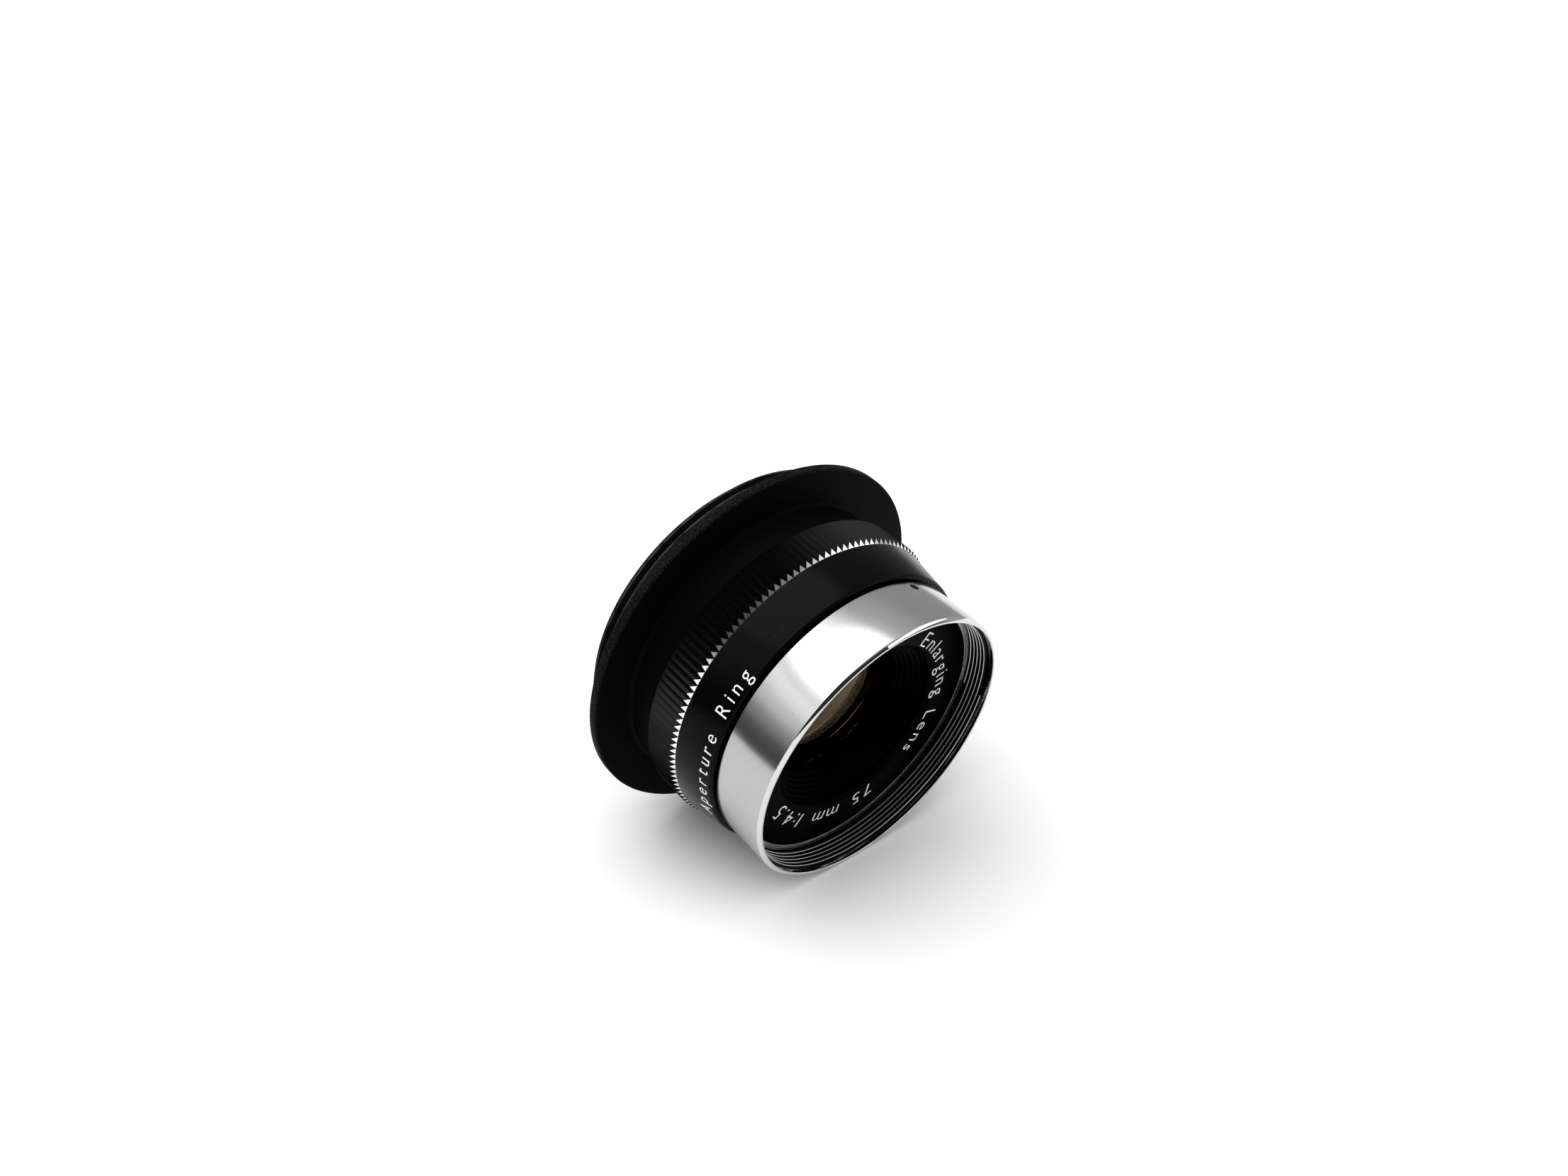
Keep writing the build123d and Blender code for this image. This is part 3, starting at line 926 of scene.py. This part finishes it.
# ---- name ring, cells and glass ----
def build_name_ring():
    ring = turn("name_ring_face", [
        (NAME_RING_BORE, TUBE_END + FIT), (NAME_RING_R - FIT, TUBE_END + FIT),
        (NAME_RING_R - FIT, NAME_RING_FACE), (NAME_RING_BORE + NAME_FUNNEL, NAME_RING_FACE),
        (NAME_RING_BORE, NAME_RING_FACE - NAME_FUNNEL_DEPTH),
    ], bevel=0.04)
    paint(ring, NAME_BLACK)
    return hand_over(ring, "barrel", "black_anodised", "name_ring")


def build_front_cell():
    """The front cell, stepped in front of the glass to stop stray light."""
    stairs = []
    for i in range(CELL_STEPS):
        radius = FRONT_CLEAR_R + STEP_WIDTH * (CELL_STEPS - i)
        stairs.append((radius, TUBE_END - i * STEP))
        stairs.append((radius, TUBE_END - (i + 1) * STEP))
    cell = turn("front_cell_body", [
        (CELL_R - FIT, CELL_BACK), (CELL_R - FIT, TUBE_END), *stairs,
        (FRONT_CLEAR_R, TUBE_END - CELL_STEPS * STEP), (FRONT_CLEAR_R, CELL_LIP),
        (GLASS_R + GLASS_GAP, CELL_LIP), (GLASS_R + GLASS_GAP, CELL_BACK),
    ], sides=CELL_SIDES, bevel=0.02)
    paint(cell, INNER_BLACK)
    return hand_over(cell, "barrel", "black_anodised", "front_cell")


def dome(rim_r, edge, apex, points=14):
    """Points from the axis out to the rim along a spherical face."""
    rise = apex - edge
    if abs(rise) < SAME:
        return [(0, apex), (rim_r / 2, apex), (rim_r, edge)]
    ball = (rim_r * rim_r + rise * rise) / (2 * abs(rise))
    side = math.copysign(1, rise)
    face = [(0, apex)]
    for i in range(1, points + 1):
        radius = rim_r * i / points
        face.append((radius, apex - side * (ball - math.sqrt(ball * ball - radius * radius))))
    return face


def build_glass(piece_name, node, rim_r, back_edge, front_edge, back_apex, front_apex):
    outline = dome(rim_r, back_edge, back_apex) + dome(rim_r, front_edge, front_apex)[::-1]
    glass = turn(piece_name, outline, sides=GLASS_SIDES, bevel=0, sharp=30)
    paint(glass, GLASS)
    return hand_over(glass, "barrel", "coated_glass", node)


def build_rear_cell():
    cell = turn("rear_cell_body", [
        (REAR_CELL_BORE, REAR_CELL_FRONT), (REAR_BORE - FIT, REAR_CELL_FRONT),
        (REAR_BORE - FIT, THREAD_BACK - FIT), (REAR_FLANGE_R - 0.1, THREAD_BACK - FIT),
        (REAR_FLANGE_R, THREAD_BACK - 0.12), (REAR_FLANGE_R, REAR_CELL_BACK + 0.15),
        (REAR_FLANGE_R - 0.15, REAR_CELL_BACK), *REAR_HOOD,
        (REAR_GLASS_R + GLASS_GAP, REAR_GLASS_SEAT), (REAR_CELL_BORE, REAR_GLASS_SEAT),
    ], sides=CELL_SIDES, bevel=0.03)
    for side in (0, 180):
        slot = block(REAR_SLOT, (REAR_SLOT_R, 0, REAR_CELL_BACK))
        cut_away(cell, sweep_about_axis(slot, side))
    paint(cell, REAR_BLACK)
    return hand_over(cell, "barrel", "black_anodised", "rear_cell")


def build_rear_retaining_ring():
    ring = turn("rear_retaining_ring_body", [
        (RETAINER_BORE, RETAINER_BACK + 0.1), (RETAINER_BORE + 0.1, RETAINER_BACK),
        (RETAINER_R, RETAINER_BACK), (RETAINER_R, RETAINER_FRONT), (RETAINER_BORE, RETAINER_FRONT),
    ], sides=GLASS_SIDES, bevel=0.02)
    cut_away(ring, block(NOTCH, (0, 0, RETAINER_BACK)))
    paint(ring, REAR_BLACK)
    return hand_over(ring, "barrel", "black_anodised", "rear_retaining_ring")


build_barrel()
build_front_ring()
build_grub_screws()
build_index_dot()
build_band()
build_grip()
build_scale()
build_name_ring()
build_lettering()
build_front_cell()
build_glass("front_glass", "front_element", *FRONT_GLASS)
build_glass("middle_glass", "middle_element", *MIDDLE_GLASS)
build_glass("rear_glass", "rear_element", *REAR_GLASS)
build_rear_cell()
build_rear_retaining_ring()

# The inner nodes keep their own shapes.
INNER = {
    "spacer_ring": INNER_BLACK,
    "front_retaining_ring": INNER_BLACK,
    "cam_retainer": BRASS,
    "iris_base_ring": INNER_BLACK,
    "cam_ring": BRASS,
    "drive_screw": DARK_STEEL,
    "click_ball": BRIGHT_STEEL,
    "click_spring": BRIGHT_STEEL,
}
for name, node in frame["nodes"].items():
    material = DARK_STEEL if name.startswith("iris_blade") else INNER.get(name)
    if material:
        paint(node, material)


# ---- floor, light and camera, in metres ----
FLOOR_MIDDLE = (0.915, 0.25)
FLOOR_SIZE = (2.17, 3.5)
FLOOR_WHITE = (0.88, 0.88, 0.88, 1)

WINDOW_PLACE = (0.324, -0.348, 0.163)
WINDOW_SIZE = (0.40, 0.12)
WINDOW_POWER = 0.24

CAMERA_AZIMUTH = math.radians(-41.42)
CAMERA_ELEVATION = math.radians(26.09)
CAMERA_DISTANCE = 0.140
CAMERA_AIM = Vector((-0.88, -6.27, 8.42)) * MM
CAMERA_LENS = 30.09     # mm, on a sensor 36 mm wide
EXPOSURE = 0.12

# How bright the room is by height: the sine of the elevation, and the level.
ROOM_STRENGTH = 2.6
LEFT_ROOM = (
    (0.0, 0.028), (0.11, 0.05), (0.26, 0.15), (0.42, 0.36), (0.60, 0.58), (0.66, 0.58),
    (0.69, 0.46), (0.745, 0.66), (0.79, 1.0),
)
RIGHT_ROOM = ((0.0, 0.16), (0.2, 0.165), (0.6, 0.175), (0.82, 0.235), (0.92, 0.30), (0.965, 1.0))
FRONT_DARK = grey(0.012)
PAPER = grey(0.98)
LEFT_TO_RIGHT = (-0.25, 0.35)       # where the left room gives way to the right one
FRONT_DARK_TOP = (0.36, 0.55)       # where the dark in front ends upwards
FRONT_DARK_REACH = (-0.75, -0.35)   # and where it ends towards the sides


def build_floor():
    """A pale table top, whose near left edge lets the chrome mirror the dark room beyond it."""
    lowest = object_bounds()[0].z
    middle = (*FLOOR_MIDDLE, lowest)
    deselect()
    bpy.ops.mesh.primitive_plane_add(size=1, location=middle)
    floor = start("floor")
    bpy.ops.transform.resize(value=(*FLOOR_SIZE, 1), center_override=middle)
    bpy.ops.object.mode_set(mode="OBJECT")
    bpy.ops.object.transform_apply(location=True, rotation=True, scale=True)
    material = bpy.data.materials.new("floor_white")
    material.use_nodes = True
    shader = material.node_tree.nodes["Principled BSDF"]
    shader.inputs["Base Color"].default_value = FLOOR_WHITE
    shader.inputs["Roughness"].default_value = 0.7
    shader.inputs["Specular IOR Level"].default_value = 0.1
    floor.data.materials.append(material)


def build_window():
    """A soft light in front on the right, turned to the lens."""
    data = bpy.data.lights.new("front_window", "AREA")
    data.shape = "RECTANGLE"
    data.size, data.size_y = WINDOW_SIZE
    data.energy = WINDOW_POWER
    window = bpy.data.objects.new("front_window", data)
    bpy.context.scene.collection.objects.link(window)
    window.location = WINDOW_PLACE
    window.rotation_euler = (-Vector(WINDOW_PLACE)).to_track_quat("-Z", "Y").to_euler()


def build_camera():
    """Looks down at the lens from in front of its left side."""
    level = math.cos(CAMERA_ELEVATION)
    back = Vector((
        math.sin(CAMERA_AZIMUTH) * level, -math.cos(CAMERA_AZIMUTH) * level, math.sin(CAMERA_ELEVATION),
    ))
    data = bpy.data.cameras.new("camera")
    data.sensor_width = 36
    data.lens = CAMERA_LENS
    data.clip_start = 0.01
    camera = bpy.data.objects.new("camera", data)
    bpy.context.scene.collection.objects.link(camera)
    camera.location = CAMERA_AIM + back * CAMERA_DISTANCE
    camera.rotation_euler = (math.pi / 2 - CAMERA_ELEVATION, 0, CAMERA_AZIMUTH)
    bpy.context.scene.camera = camera


def build_world():
    """A soft room: bright overhead, dimmer at the sides, and dark low down in front."""
    world = bpy.data.worlds.new("studio")
    bpy.context.scene.world = world
    world.use_nodes = True
    tree = world.node_tree

    def node(kind, settings=None, values=None):
        made = tree.nodes.new(kind)
        for name, setting in (settings or {}).items():
            setattr(made, name, setting)
        for key, value in (values or {}).items():
            if isinstance(value, bpy.types.NodeSocket):
                tree.links.new(value, made.inputs[key])
            else:
                made.inputs[key].default_value = value
        return made

    look = node("ShaderNodeTexCoord").outputs["Generated"]
    across, along, height = node("ShaderNodeSeparateXYZ", {}, {"Vector": look}).outputs

    def levels(stops):
        made = node("ShaderNodeValToRGB", {}, {"Fac": height})
        made.color_ramp.interpolation = "EASE"
        while len(made.color_ramp.elements) < len(stops):
            made.color_ramp.elements.new(0.5)
        for element, (place, level) in zip(made.color_ramp.elements, stops):
            element.position = place
            element.color = grey(level)
        return made.outputs["Color"]

    def blend(value, span, first, second):
        amount = node(
            "ShaderNodeMapRange", {"interpolation_type": "SMOOTHSTEP"},
            {"Value": value, "From Min": span[0], "From Max": span[1]},
        ).outputs["Result"]
        values = {"Factor": amount, 6: first, 7: second}
        return node("ShaderNodeMix", {"data_type": "RGBA"}, values).outputs[2]

    sides = blend(across, LEFT_TO_RIGHT, levels(LEFT_ROOM), levels(RIGHT_ROOM))
    low_front = blend(height, FRONT_DARK_TOP, FRONT_DARK, sides)
    room = blend(along, FRONT_DARK_REACH, low_front, sides)
    lit = node("ShaderNodeBackground", {}, {"Color": room, "Strength": ROOM_STRENGTH})
    paper = node("ShaderNodeBackground", {}, {"Color": PAPER})
    camera_ray = node("ShaderNodeLightPath").outputs["Is Camera Ray"]
    seen = node("ShaderNodeMixShader", {}, {"Fac": camera_ray, 1: lit.outputs[0], 2: paper.outputs[0]})
    tree.links.new(seen.outputs[0], tree.nodes["World Output"].inputs["Surface"])


build_floor()
build_window()
build_world()
build_camera()
bpy.context.scene.view_settings.view_transform = "Standard"
bpy.context.scene.view_settings.exposure = EXPOSURE
